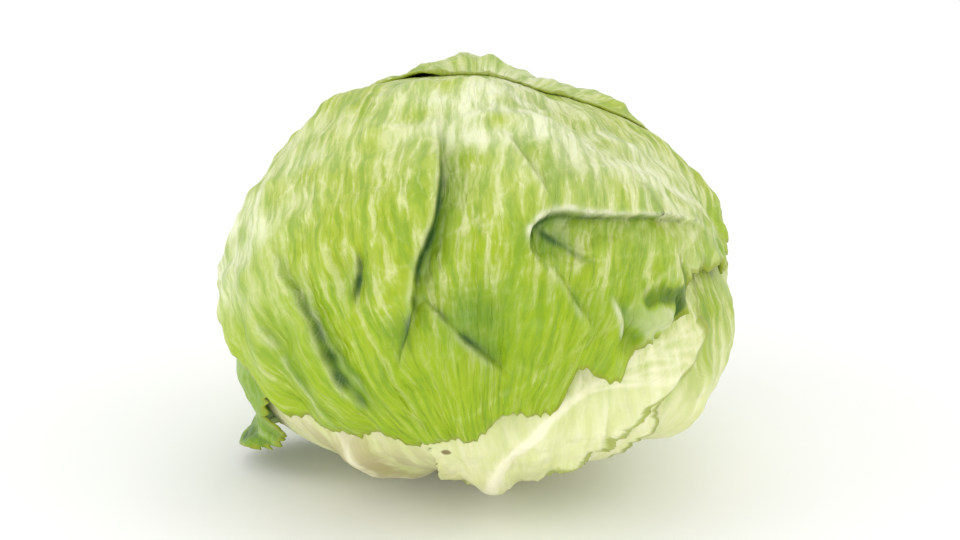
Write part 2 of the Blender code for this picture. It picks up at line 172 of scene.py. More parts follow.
def tube_faces(rings, sides):
    """The quads between neighbouring rings of points, and a triangle fan at each end's centre.

    The points are the rings in order, from the lower end up, then the two centres.
    """
    index = np.arange(rings * sides).reshape(rings, sides)
    after = np.roll(index, -1, axis=1)
    quads = np.stack([index[:-1], after[:-1], after[1:], index[1:]], axis=-1).reshape(-1, 4)
    low, high = rings * sides, rings * sides + 1
    under = np.stack([np.full(sides, low), after[0], index[0]], axis=-1)
    over = np.stack([np.full(sides, high), index[-1], after[-1]], axis=-1)
    return quads, np.concatenate([under, over])


def stem_points():
    """The cut face from its centre to its rim, the bevel, the leaning side, and the top.

    Each side line runs along a cone that keeps STEM_GAP inside the leaves' ends, from a ring
    under the heart to where it meets the cutting plane. The knife's marks are sines across the
    cut, the ring of vessels is a bell curve sunk into it, and the old leaf scars are the upper
    halves of sines up the side.
    """
    turn = np.arange(STEM_SIDES) * (2 * math.pi / STEM_SIDES)
    ring = np.stack([np.cos(turn), np.sin(turn), np.zeros(STEM_SIDES)], axis=1)
    edge = math.sin(STEM_ANGLE) * ring - np.array([0.0, 0.0, math.cos(STEM_ANGLE)])
    ends = head_point(edge @ TILT.T, np.zeros(STEM_SIDES)) @ TILT
    lower = head_point(edge @ TILT.T, np.full(STEM_SIDES, 0.010)) @ TILT
    cone = lower - ends
    cone /= np.abs(cone[:, 2:])
    under = TILT @ np.array([0.0, 0.0, -1.0])
    top_height = (head_point(under[None], np.zeros(1)) @ TILT)[0, 2] - STEM_GAP
    top = (ends + cone * (ends[:, 2:] - top_height) - STEM_GAP * ring) @ TILT.T
    slope = cone @ TILT.T

    def at_height(height, shrink):
        """The ring where the side lines reach a height, drawn in towards the axis by shrink."""
        return top + slope * ((height - top[:, 2:]) / slope[:, 2:]) - shrink * ring

    rim = at_height(0.0, STEM_BEVEL)
    levels = []
    for share in np.linspace(0.06, 1.0, CUT_RINGS):
        level = rim * share
        saw = SAW_DEPTH * np.sin(level[:, 0] * 2300 + 0.6 * np.sin(level[:, 1] * 420))
        ring_dip = VESSEL_DIP * bell((share - 0.68) / 0.07)
        level[:, 2] = np.maximum(saw + ring_dip + SAW_DEPTH, 0.0) * (share < 0.96)
        levels.append(level)
    for turn_share in (0.3, 0.7, 1.0):
        bend = 0.5 * math.pi * turn_share
        levels.append(
            at_height(STEM_BEVEL * (1 - math.cos(bend)), STEM_BEVEL * (1 - math.sin(bend)))
        )
    for share in np.linspace(0.08, 1.0, SIDE_RINGS):
        level = at_height(STEM_BEVEL, 0.0) * (1 - share) + top * share
        scar = SCAR_HEIGHT * np.maximum(0.0, np.sin(level[:, 2] * 1500 + 2.2 * np.sin(2 * turn)))
        levels.append(level - scar[:, None] * ring * (share < 0.98))
    return np.stack(levels)


class Shade:
    """A node socket that arithmetic works on: each operator adds the Math node for it."""

    def __init__(self, tree, socket):
        self.tree = tree
        self.socket = socket

    def node(self, kind, settings=None, output=0, **values):
        """Adds one node: its settings are set first, then the values or links of its sockets.

        A socket goes by its name, or by i and its number where the name isn't the only one.
        """
        made = self.tree.nodes.new(kind)
        for key, value in (settings or {}).items():
            setattr(made, key, value)
        for key, value in values.items():
            by_number = key[1:].isdigit()
            socket = made.inputs[int(key[1:]) if by_number else key.replace("_", " ")]
            if isinstance(value, Shade):
                self.tree.links.new(value.socket, socket)
            else:
                socket.default_value = value
        return Shade(self.tree, made.outputs[output])

    def math(self, operation, *values):
        """One Math node, which does the operation on the values or sockets."""
        names = {f"i{i}": value for i, value in enumerate(values)}
        return self.node("ShaderNodeMath", {"operation": operation}, **names)

    def __add__(self, other):
        return self.math("ADD", self, other)

    __radd__ = __add__

    def __sub__(self, other):
        return self.math("SUBTRACT", self, other)

    def __rsub__(self, other):
        return self.math("SUBTRACT", other, self)

    def __mul__(self, other):
        return self.math("MULTIPLY", self, other)

    def step(self, low, high):
        """0 below low and 1 above high, smooth between."""
        return self.node(
            "ShaderNodeMapRange", {"interpolation_type": "SMOOTHSTEP"},
            Value=self, From_Min=low, From_Max=high, To_Min=0.0, To_Max=1.0,
        )

    def mix(self, first, second):
        """The first colour where this is 0, and the second where it is 1."""
        as_colour = [c if isinstance(c, Shade) else (*c, 1.0) for c in (first, second)]
        return self.node(
            "ShaderNodeMix", {"data_type": "RGBA"}, output=2,
            i0=self, i6=as_colour[0], i7=as_colour[1],
        )


class Finish(Shade):
    """A material with one Principled shader; what varies is made with the Shade methods."""

    def __init__(self, name, **constants):
        self.material = bpy.data.materials.new(name)
        self.material.use_nodes = True
        super().__init__(self.material.node_tree, None)
        self.shader = self.tree.nodes["Principled BSDF"]
        for key, value in constants.items():
            self.shader.inputs[key.replace("_", " ")].default_value = value

    def field(self, name):
        """The number that the piece holds at each point under this name."""
        return self.node("ShaderNodeAttribute", {"attribute_name": name}, output=2)

    def place(self, *scale):
        """The object's own coordinates, stretched by a factor along each axis."""
        where = self.node("ShaderNodeTexCoord", output=3)
        return self.node("ShaderNodeMapping", i0=where, i3=scale)

    def noise(self, where, scale, detail=2.0, roughness=0.5):
        """Smooth noise at each place, from 0 to 1, with about scale features a metre."""
        return self.node(
            "ShaderNodeTexNoise", Vector=where, Scale=scale, Detail=detail, Roughness=roughness
        )

    def feed(self, **links):
        """Links each of these to the shader's socket of that name."""
        for key, value in links.items():
            self.tree.links.new(value.socket, self.shader.inputs[key.replace("_", " ")])

    def bump(self, height, distance):
        """The normal of a surface raised by the distance times this height."""
        return self.node("ShaderNodeBump", Height=height, Distance=distance, Strength=1.0)


levels = stem_points()
quads, fans = tube_faces(len(levels), STEM_SIDES)
centres = np.stack([levels[0].mean(axis=0), levels[-1].mean(axis=0)])
stem = new_piece("stem_fine", np.concatenate([levels.reshape(-1, 3), centres]), quads, fans, {})

cut = Finish("cut_stem", Roughness=0.62)
where = cut.place(1, 1, 1)
blotch = cut.noise(where, 190, 4.0, 0.6)
spokes = cut.noise(cut.place(1, 1, 0.15), 900, 2.0)
across = cut.node("ShaderNodeVectorMath", {"operation": "LENGTH"}, output=1, i0=cut.place(1, 1, 0))
vessel_ring = across.step(0.0085, 0.0105) * (1 - across.step(0.0115, 0.0135))
height = cut.node("ShaderNodeSeparateXYZ", output=2, i0=where)
on_cut = 1 - height.step(0.0008, 0.0022)
flesh = (blotch * 0.7 + spokes * 0.3).step(0.3, 0.7).mix(CREAM_TISSUE, STRAW_TISSUE)
dried = (blotch * 0.6 + vessel_ring * 0.5).step(0.25, 0.75).mix(RUSSET, DARK_RUSSET)
cut.feed(
    Base_Color=(on_cut * 0.8).mix(flesh, dried),
    Normal=cut.bump(blotch * 0.7 + spokes * 0.3, 0.0005),
)
stem.data.materials.append(cut.material)
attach(stem, "root")
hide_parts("stem")

# The heart
# The inner leaves, packed one inside the other as they grew. They are blanched pale yellow,
# because no light reaches them, and only the edges of the outermost ones stand out.

HEART_RAYS = 200
HEART_RINGS = 100
HEART_STEP = 0.0008
HEART_STEP_WIDTH = math.radians(6.0)
HEART_LEAVES = 6
HEART_LEAF_REACH = math.radians(74.0)
GOLDEN_ANGLE = 137.5  # in degrees, from one leaf to the next
HEART_PUCKER = 0.0006
BLANCHED_YELLOW = (0.72, 0.74, 0.36)
BLANCHED_GREEN = (0.60, 0.66, 0.24)


def heart_height(directions):
    """Each packed leaf adds a step where it lies, up to a waved edge; nothing stands higher.

    Fine puckers, which are smooth noise squared, are sunk into all of them.
    """
    height = np.full(directions.shape[:-1], -HEART_STEP * 0.5 * HEART_LEAVES)
    turn = np.arctan2(directions[..., 1], directions[..., 0])
    for i in range(HEART_LEAVES):
        away = angle_between(directions, direction(60 + i * GOLDEN_ANGLE, 12))
        edge = HEART_LEAF_REACH + 0.05 * np.sin(9 * turn + i)
        height += HEART_STEP * (1 - smooth_step((away - edge) / HEART_STEP_WIDTH))
    puckers = HEART_PUCKER * grain(directions * HEAD_RADIUS, 0.009, 5) ** 2
    return np.minimum(height, 0.0) - puckers


polar = np.linspace(math.pi, 0.0, HEART_RINGS + 1)[1:-1, None]
turn = np.arange(HEART_RAYS) * (2 * math.pi / HEART_RAYS)
parts = np.sin(polar) * np.sin(turn), -np.sin(polar) * np.cos(turn), np.cos(polar)
around = np.stack(np.broadcast_arrays(*parts), axis=-1) @ TILT.T
poles = np.array([[0.0, 0.0, -1.0], [0.0, 0.0, 1.0]]) @ TILT.T
rounds = head_point(around, heart_height(around))
heart_points = np.concatenate([rounds.reshape(-1, 3), head_point(poles, heart_height(poles))])
quads, fans = tube_faces(HEART_RINGS - 1, HEART_RAYS)
heart = new_piece("heart_fine", heart_points, quads, fans, {})
packed = Finish("packed_leaves", Roughness=0.45, Subsurface_Weight=0.15, Subsurface_Scale=0.003)
patches = packed.noise(packed.place(1, 1, 0.6), 60, 3.0)
fibres = packed.noise(packed.place(1, 1, 0.2), 420, 2.0)
packed.feed(
    Base_Color=(patches * 0.6 + fibres * 0.4).step(0.35, 0.65).mix(BLANCHED_YELLOW, BLANCHED_GREEN),
    Normal=packed.bump(fibres, 0.0004),
)
heart.data.materials.append(packed.material)
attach(heart, "root")
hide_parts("heart")

# The wrapper leaves
# Seven crisp outer leaves, each grown from the stem on a thick cream rib and folded over the
# ones under it. The blade is thin, waxy and puckered between its veins, with a jagged edge.

BLADE = 0.0009  # thickness between the ribs
BLADE_EDGE = 0.0007
LEAF_GAP = 0.00125  # air between one leaf and the next
STEP_WIDTH = math.radians(13.0)  # over which a leaf climbs the edge of the one under it
EDGE_CLEARANCE = math.radians(3.5)  # an edge's own lobes, which the leaf above clears
RIB_WIDTH = 0.0135  # at the foot
RIB_SPREAD = 2.2  # a rib's section is the bell curve exp(-RIB_SPREAD (distance / width)^2)
PRESSED_WIDTH = 1.6  # a leaf bridges the ribs under it, as if they were this much wider
FOLD_TURN = 0.0012  # half the width over which a fold drops from its lip
LIP_PLACE = 0.0012  # where the painted highlight on a fold's lip lies, from the fold, and its width
LIP_WIDTH = 0.0009
DIP_PLACE = 0.0005  # the same for the painted shade line in its crease, on the other side
DIP_WIDTH = 0.0012
DARK_SPREAD = 0.24  # the share of a fold's length over which its darkest painted shade fades
RIDGE = 0.00085  # a main vein's height over the blade
PUCKER = 0.00080  # how far the blade swells between its veins
VEIN_STEP = 0.036  # the length of one piece of a vein, as an angle
VEIN_STEPS = 80
BRANCH_CHANCE = 0.17
MOST_VEIN_PIECES = 2600
BROWN_SPOT = (-11, -30)
SPOT_RADIUS = 0.0018
DRIED_PLACE = (-42, -44, 20)  # azimuth, elevation and width
FLOOR_CLEARANCE = 0.0004  # the leaves' bases are pressed flat where the head stands
# Where the whitish painted sheen lies, on the lit rims and the crown: azimuth, elevation, width and
# amount
SHEEN_PLACES = (
    (-84, 14, 20, 0.95), (-75, 48, 16, 0.35), (72, 42, 18, 0.95), (35, 60, 18, 0.55),
    (-5, 74, 20, 0.75), (160, 68, 18, 0.55),
)


def smooth_line(points, steps=6):
    """Unit vectors along a smooth line through points given as azimuth and elevation."""
    knots = np.array([direction(*p) for p in points])
    knots = np.vstack([2 * knots[0] - knots[1], knots, 2 * knots[-1] - knots[-2]])
    line = []
    for a, b, c, d in zip(knots, knots[1:], knots[2:], knots[3:]):
        for t in np.arange(steps) / steps:
            bend = (2 * a - 5 * b + 4 * c - d) * t**2 + (3 * b - a - 3 * c + d) * t**3
            line.append(0.5 * (2 * b + (c - a) * t + bend))
    line.append(knots[-2])
    line = np.array(line)
    return line / np.linalg.norm(line, axis=1, keepdims=True)


def distance_to_line(directions, line):
    """How far each direction is from a line of unit vectors, in metres on the leaves.

    Also which side it is on, 1 for the left of someone who walks the line and -1 for the right,
    how far along it, from 0 to 1, and the unit vector to the left there.
    """
    nearest = np.full(directions.shape[:-1], 9.0)
    along = np.zeros(directions.shape[:-1])
    left = np.zeros(directions.shape)
    count = len(line) - 1
    for i in range(count):
        start, run = line[i], line[i + 1] - line[i]
        share = np.clip(((directions - start) @ run) / (run @ run), 0.0, 1.0)
        away = np.linalg.norm(directions - start - share[..., None] * run, axis=-1)
        closer = away < nearest
        along[closer] = (i + share[closer]) / count
        square = np.cross(start, run)
        left[closer] = square / np.linalg.norm(square)
        nearest[closer] = away[closer]
    side = np.sign(np.einsum("...i,...i", directions, left))
    return nearest * HEAD_RADIUS, side, along, left


def nearness(directions, azimuth, elevation, width):
    """A bell curve of the angle from one direction, in degrees, over the width."""
    return bell(np.degrees(angle_between(directions, direction(azimuth, elevation))) / width)


def bearing_round(directions, axis):
    """The bearing of each direction round an axis, in a full turn from -pi to pi."""
    side = np.cross(axis, np.array([0.31, 0.95, 0.0]))
    side /= np.linalg.norm(side)
    return np.arctan2(directions @ np.cross(axis, side), directions @ side)


def painted_sheen(directions):
    """How strong the whitish painted sheen is: a bell curve round each of its places, times noise.
    """
    total = sum(amount * nearness(directions, *place) for *place, amount in SHEEN_PLACES)
    return np.clip(total * (1.0 + 0.6 * grain(directions * HEAD_RADIUS, 0.016, 91)), 0.0, 1.0)


class Leaf:
    """One wrapper leaf: a curved disc round a centre, with a rib that runs up from the stem.

    A place on it is a bearing round the centre, 0 towards the crown and growing clockwise as
    seen from outside, and an angle away from the centre. Its outline is a list of directions,
    or of bearings with the reach at each, in degrees. It is cut back where it meets the stem.

    Lift is how far its free edge stands off in waves, puff and pleats are how its free blade
    does, and snug is how far the edge is pressed down instead, except near the gape. Fan and
    grain_fan are the directions that its pleats and its veins spread from. Cream is where the
    pale flesh starts to turn green and where it has, in degrees from the stem, and fresh is how
    bright that green is. Border is the width of the olive margin, which ends near clean.
    Places with a width are azimuth, elevation and width, in degrees.
    """

    def __init__(self, name, centre, rib, outline=None, reaches=None, rays=320, rings=80, seed=1,
                 dense=(180, 0.30), lift=0.0030, waves=9, puff=0.0006, pleats=0.0005,
                 fan=(90, -83), folds=(), flare=None, rib_height=0.0030, looseness=0.0,
                 ring_power=0.9, inner_rings=16, veins="rib", cream=(25, 70),
                 fresh=0.5, frills=(), grain_fan=None, snug=0.0, gape=(0, 0, 1), border=0.0025,
                 nicks=1.5, hollows=(), clean=(0, 0, 0.01)):
        self.name = name
        self.centre = direction(*centre)
        up = np.array([0.0, 0.0, 1.0])
        self.up = up - (up @ self.centre) * self.centre
        self.up /= np.linalg.norm(self.up)
        self.right = np.cross(self.up, self.centre)
        self.rib = smooth_line(rib)
        self.rib_height = rib_height
        self.rays = rays
        self.rings = rings
        self.inner_rings = inner_rings
        self.ring_power = ring_power
        self.seed = seed
        self.dense = math.radians(dense[0]), dense[1]
        self.lift = lift
        self.waves = waves
        self.puff = puff
        self.looseness = looseness
        self.pleats = pleats
        self.fan = direction(*fan)
        self.folds = [(smooth_line(line), *sizes) for line, *sizes in folds]
        self.flare = flare
        self.vein_plan = veins
        self.cream = cream
        self.fresh = fresh
        self.frills = frills
        self.grain_fan = direction(*(grain_fan or fan))
        self.snug = snug
        self.gape = gape
        self.hollows = hollows
        self.border = border
        self.clean = clean
        self.nicks = nicks
        if outline:
            bearing, reach = self.place(direction(*np.array(outline, float).T))
            order = np.argsort(bearing)
            self.outline = np.stack([bearing[order], reach[order]])
        else:
            self.outline = np.radians(np.array(reaches, float)).T

    def place(self, directions):
        """The bearing, from 0 to 2 pi, and the angle from the centre, of each direction."""
        bearing = np.arctan2(directions @ self.right, directions @ self.up) % (2 * math.pi)
        return bearing, angle_between(directions, self.centre)

    def direction_at(self, bearing, away):
        """The unit vectors at these bearings and angles from the centre."""
        heading = np.sin(bearing)[..., None] * self.right + np.cos(bearing)[..., None] * self.up
        return np.cos(away)[..., None] * self.centre + np.sin(away)[..., None] * heading

    def ray_bearings(self):
        """The bearings of the mesh's rays, closer together round the bearing that needs it."""
        turn = np.arange(self.rays) * (2 * math.pi / self.rays)
        where, strength = self.dense
        return turn - strength * np.sin(turn - where)

    def smooth_reach(self, bearing):
        """The outline without its lobes: a cubic through the outline's points, round the leaf."""
        knots, reach = self.outline
        turn = 2 * math.pi
        bearing = bearing % turn
        knots = np.concatenate([knots[-2:] - turn, knots, knots[:2] + turn])
        reach = np.concatenate([reach[-2:], reach, reach[:2]])
        slope = (reach[2:] - reach[:-2]) / (knots[2:] - knots[:-2])
        inner, value = knots[1:-1], reach[1:-1]
        i = np.clip(np.searchsorted(inner, bearing, side="right") - 1, 0, len(inner) - 2)
        width = inner[i + 1] - inner[i]
        t = (bearing - inner[i]) / width
        return (
            value[i] * (1 + 2 * t) * (1 - t) ** 2
            + slope[i] * width * t * (1 - t) ** 2
            + value[i + 1] * t * t * (3 - 2 * t)
            + slope[i + 1] * width * t * t * (t - 1)
        )

    def stem_reach(self, bearing):
        """The angle at which a ray meets the circle round the stem, or a turn where it misses.

        On a sphere, cos(stem) = K cos(reach - middle), with K and middle from the stem's place.
        """
        stem_bearing, stem_away = self.place(TILT @ np.array([0.0, 0.0, -1.0]))
        side = np.sin(stem_away) * np.cos(bearing - stem_bearing)
        middle = np.arctan2(side, np.cos(stem_away))
        share = math.cos(STEM_ANGLE) / np.hypot(side, np.cos(stem_away))
        met = middle - np.arccos(np.clip(share, -1.0, 1.0))
        return np.where((share <= 1.0) & (side > 0), met, 2 * math.pi)

    def edge_waves(self, bearing, counts, seed):
        """Sines round the edge, with seeded phases, that add up to between -1 and 1."""
        phases = np.random.default_rng(seed).uniform(0, 2 * math.pi, len(counts))
        shares = 1.0 / (1.0 + 0.35 * np.arange(len(counts)))
        waves = sum(s * np.sin(n * bearing + p) for n, p, s in zip(counts, phases, shares))
        return waves / shares.sum()

    def reach(self, bearing, nicks=0.0):
        """The outline with its lobes and jagged teeth, cut back at the stem.

        The nicks are smaller teeth: the absolute value of a wave, so that each has a point.
        """
        lobes = math.radians(2.2) * self.edge_waves(bearing, (7, 11, 17), self.seed)
        teeth = math.radians(1.2) * self.edge_waves(bearing, (23, 31), self.seed + 50)
        small = np.abs(self.edge_waves(bearing, (59, 83, 131), self.seed + 70))
        outer = self.smooth_reach(bearing) + lobes + teeth - math.radians(nicks) * small
        return np.minimum(outer, self.stem_reach(bearing))

    def cover(self, directions):
        """1 where this leaf lies, falling to 0 over the step past its edge.

        The distance past the edge is square to it: the angle past it along the ray, over the
        square root of 1 plus the square of the edge's slope against the ray.
        """
        bearing, away = self.place(directions)
        past = away - self.smooth_reach(bearing)
        step = 0.01
        rise = (self.smooth_reach(bearing + step) - self.smooth_reach(bearing)) / step
        past /= np.sqrt(1.0 + (rise / np.maximum(np.sin(away), 0.3)) ** 2)
        return 1.0 - smooth_step((past - EDGE_CLEARANCE) / STEP_WIDTH)

    def thickness(self, directions, widened=1.0):
        """The blade and the rib on it, a bell curve that gets lower and narrower upwards."""
        away, _, along, _ = distance_to_line(directions, self.rib)
        width = RIB_WIDTH * (1.0 - 0.75 * along) * widened
        height = self.rib_height * (1.0 - along) ** 0.8
        return BLADE + height * np.exp(-RIB_SPREAD * (away / width) ** 2)

    def grown(self, directions):
        """Places in the leaf's own growth: wrapped round its fan of veins, and out along them.

        The first two numbers turn with the bearing round the fan's axis, and the third is the
        distance from that axis, so that a texture squeezed along the third follows the veins.
        """
        bearing = bearing_round(directions, self.grain_fan)
        along = HEAD_RADIUS * angle_between(directions, self.grain_fan)
        return np.stack([np.cos(bearing) * 0.075, np.sin(bearing) * 0.075, along], axis=-1)

    def relief(self, directions):
        """The free leaf's own form: broad pleats that fan out, sharp folds and soft hollows.

        A fold rises in a bell curve to its lip on its left side and drops by a second, narrower
        bell curve on its right, and a hollow is a bell curve sunk into the blade. Also how much
        painted highlight a lip, painted shade a crease line and painted shade a drop or hollow
        give each direction, from 0 to 1, and how far the lip hangs over its right side.
        """
        spread = np.sin(angle_between(directions, self.fan))
        bearing = bearing_round(directions, self.fan)
        pleats = self.edge_waves(bearing, (9, 14, 19), self.seed + 20)
        total = self.puff + self.pleats * spread * pleats
        lip_highlights = np.zeros(directions.shape[:-1])
        crease_shades = np.zeros(directions.shape[:-1])
        shades = np.zeros(directions.shape[:-1])
        shift = np.zeros(directions.shape)
        for line, lip, lip_width, drop, drop_width, highlight_strength, shade_strength, darkest in self.folds:
            away, side, along, left = distance_to_line(directions, line)
            fade = smooth_step(along / 0.25) * smooth_step((1 - along) / 0.25)
            signed = away * side
            turned = smooth_step(0.5 + 0.5 * signed / FOLD_TURN)
            rise = lip * bell(away / lip_width)
            fall = -drop * bell(away / drop_width)
            total += fade * (turned * rise + (1 - turned) * fall)
            ragged = 0.75 + 0.5 * grain(directions * HEAD_RADIUS, 0.007, self.seed + 61)
            marked = fade * smooth_step((along - 0.11) / 0.16)
            # The painted highlight along the fold's lip, made ragged by noise
            pale = highlight_strength * marked * ragged * bell((signed - LIP_PLACE) / LIP_WIDTH)
            lip_highlights = np.maximum(lip_highlights, pale)
            # Painted shade: a dark line along the crease, broken by noise, and a broad shade over
            # the drop side
            deep = shade_strength * (0.22 + 0.78 * bell((along - darkest) / DARK_SPREAD))
            broken = 0.75 + 0.7 * grain(directions * HEAD_RADIUS, 0.008, self.seed + 62)
            dark = 1.5 * deep * marked * np.clip(broken, 0, 1)
            crease_shades = np.maximum(crease_shades, dark * bell((signed + DIP_PLACE) / DIP_WIDTH))
            shade = deep * marked * (1 - turned) * bell(away / (1.1 * drop_width))
            shades = np.maximum(shades, 0.95 * shade)
            hang = 0.8 * lip * fade * turned * bell((signed - FOLD_TURN) / 0.005)
            shift -= hang[..., None] * left
        # Each hollow sinks into the blade and gets painted shade
        for *place, depth, shade_strength in self.hollows:
            near = nearness(directions, *place)
            total -= depth * near
            shades = np.maximum(shades, shade_strength * near)
        return np.maximum(total, 0.0), lip_highlights, crease_shades, shades, shift


def grow_veins(leaf):
    """The leaf's veins as pieces: where each starts and ends, as unit vectors, and its strength.

    Main veins leave the rib on both sides in turn, or fan out from a point. Each goes on in
    small steps, turns a little by a seeded draw, gets weaker, and now and then sends off a
    branch of half its strength.
    """
    draw = np.random.default_rng(leaf.seed + 300)
    growing = []
    pieces = []

    def turned(place, heading, angle):
        """The heading turned by an angle, to the left of someone who stands at the place."""
        return heading * math.cos(angle) + np.cross(place, heading) * math.sin(angle)

    if leaf.vein_plan == "rib":
        for i in range(len(leaf.rib) - 1):
            place, onward = leaf.rib[i], leaf.rib[i + 1]
            share = i / (len(leaf.rib) - 1)
            heading = onward - place
            heading -= (heading @ place) * place
            heading /= np.linalg.norm(heading)
            pieces.append((place, onward, 1.0 - 0.45 * share))
            for side in (-1, 1):
                if share > 0.06:
                    lean = side * math.radians(draw.uniform(26, 44))
                    growing.append((place, turned(place, heading, lean), 0.62 - 0.25 * share))
                if i < 2:
                    for lean in (7, 15, 24, 34, 46):
                        lean = side * math.radians(lean + draw.uniform(-3, 3))
                        strength = 0.95 - 0.008 * abs(lean)
                        growing.append((place, turned(place, heading, lean), strength))
        heading = leaf.rib[-1] - leaf.rib[-2]
        growing.append((leaf.rib[-1], heading / np.linalg.norm(heading), 0.5))
    else:
        count, low, high = leaf.vein_plan
        axis = leaf.grain_fan
        toward = direction(0, -10)
        toward = toward - (toward @ axis) * axis
        toward /= np.linalg.norm(toward)
        for angle in np.linspace(low, high, count):
            way = turned(axis, toward, math.radians(angle + draw.uniform(-2.0, 2.0)))
            start = 0.17 + draw.uniform(-0.03, 0.05)
            place = math.cos(start) * axis + math.sin(start) * way
            heading = math.cos(start) * way - math.sin(start) * axis
            growing.append((place, heading, draw.uniform(0.40, 0.95)))
    while growing:
        place, heading, strength = growing.pop()
        for _ in range(VEIN_STEPS):
            heading = turned(place, heading, draw.normal(0, 0.075))
            onward = place * math.cos(VEIN_STEP) + heading * math.sin(VEIN_STEP)
            heading = heading * math.cos(VEIN_STEP) - place * math.sin(VEIN_STEP)
            pieces.append((place, onward, strength))
            place = onward
            strength *= 0.988
            bearing, away = leaf.place(place)
            if strength < 0.10 or away > leaf.smooth_reach(bearing) + 0.06:
                break
            if draw.random() < BRANCH_CHANCE and strength > 0.2:
                lean = draw.choice([-1, 1]) * math.radians(draw.uniform(22, 48))
                growing.append((place, turned(place, heading, lean), strength * 0.55))
        if len(pieces) > MOST_VEIN_PIECES:
            break
    starts, ends, strengths = (np.array(part) for part in zip(*pieces))
    return starts, ends, strengths


def vein_form(directions, veins):
    """How high a vein stands at each direction, from 0 to 1, and the distance to the nearest.

    A vein's section is a bell curve that is as wide as the vein is strong, and where several
    pass, the highest counts.
    """
    flat = directions.reshape(-1, 3)
    ridge = np.zeros(len(flat))
    nearest = np.full(len(flat), 0.02)
    for start, end, strength in zip(*veins):
        near = np.flatnonzero(flat @ start > math.cos(0.16))
        run = end - start
        rel = flat[near] - start
        share = np.clip(rel @ run / (run @ run), 0.0, 1.0)
        away = np.linalg.norm(rel - share[:, None] * run, axis=1) * HEAD_RADIUS
        width = 0.0005 + 0.0015 * strength
        ridge[near] = np.maximum(ridge[near], strength * bell(away / width))
        if strength > 0.16:
            nearest[near] = np.minimum(nearest[near], away)
    return ridge.reshape(directions.shape[:-1]), nearest.reshape(directions.shape[:-1])


def layer(leaves, index, directions):
    """A leaf's height over the heart where it rests, how free it is, and its thickness.

    It rests on the leaves under it, each counted where it lies. It is free where no other leaf
    presses on it. The last number is how near the edge a place is, from 0 to 1.
    """
    leaf = leaves[index]
    rest = np.full(directions.shape[:-1], LEAF_GAP + leaf.looseness)
    for under in leaves[:index]:
        room = under.thickness(directions, PRESSED_WIDTH) + under.looseness + LEAF_GAP
        rest += under.cover(directions) * room
    free = np.ones(directions.shape[:-1])
    for over in leaves[index + 1 :]:
        free *= 1.0 - over.cover(directions)
    bearing, away = leaf.place(directions)
    share = away / leaf.reach(bearing, leaf.nicks)
    off_stem = smooth_step((angle_between(directions, -TILT[:, 2]) - STEM_ANGLE) / 0.45)
    thickness = leaf.thickness(directions)
    thinned = smooth_step((share - 0.9) / 0.1) * off_stem
    return rest, free * off_stem, thickness + (BLADE_EDGE - thickness) * thinned, share


def leaf_points(leaves, index, directions, rest, above):
    """Points of a leaf that rests at one height, raised above that by another.

    A flare bends what hangs below a level outwards from the head: down the head's side to the
    level, then round an arc until it has turned by the flare's angle, then straight on.
    """
    points = head_point(directions, rest + above)
    if leaves[index].flare is None:
        return points
    azimuth_0, level, spread, radius, turn = leaves[index].flare
    azimuth = np.degrees(np.arctan2(directions[..., 0], -directions[..., 1]))
    elevation = np.degrees(np.arcsin(np.clip(directions[..., 2], -1.0, 1.0)))
    foot_directions = direction(azimuth, np.full(azimuth.shape, float(level)))
    foot_rest = layer(leaves, index, foot_directions)[0]
    foot = head_point(foot_directions, foot_rest)
    down = head_point(direction(azimuth, np.full(azimuth.shape, level - 1.0)), foot_rest) - foot
    down /= np.linalg.norm(down, axis=-1, keepdims=True)
    out = head_point(foot_directions, foot_rest + 0.001) - foot
    out -= np.einsum("...i,...i", out, down)[..., None] * down
    out /= np.linalg.norm(out, axis=-1, keepdims=True)
    past = np.radians(np.maximum(level - elevation, 0.0)) * HEAD_RADIUS
    angle = np.minimum(past / radius, math.radians(turn))[..., None]
    straight = past[..., None] - angle * radius
    bent = foot + down * (radius * np.sin(angle) + straight * np.cos(angle))
    bent += out * (radius * (1.0 - np.cos(angle)) + straight * np.sin(angle))
    bent += (out * np.cos(angle) - down * np.sin(angle)) * above[..., None]
    turned = (azimuth - azimuth_0 + 180.0) % 360.0 - 180.0
    amount = (bell(turned / spread) * (past > 0))[..., None]
    return points + amount * (bent - points)


def disc_faces(rays, outer_rings, inner_rings):
    """Faces of a shell: a fan and rings of quads on each side, and the rim between them."""
    quads, triangles = [], []
    start = 0
    edges = []
    for rings, flip in ((outer_rings, False), (inner_rings, True)):
        index = start + 1 + np.arange(rings * rays).reshape(rings, rays)
        after = np.roll(index, -1, axis=1)
        square = [index[:-1], after[:-1], after[1:], index[1:]]
        fan = [np.full(rays, start), after[0], index[0]]
        quads.append(np.stack(square[::-1] if flip else square, axis=-1).reshape(-1, 4))
        triangles.append(np.stack(fan[::-1] if flip else fan, axis=-1))
        edges.append((index[-1], after[-1]))
        start += 1 + rings * rays
    (a, b), (c, d) = edges
    quads.append(np.stack([a, b, d, c], axis=-1))
    return np.concatenate(quads), np.concatenate(triangles)


def flat_grid(grid):
    """A disc's grid of values as a list: the one at the centre, then ring after ring."""
    return np.concatenate([grid[:1, 0], grid[1:].reshape(-1, *grid.shape[2:])])


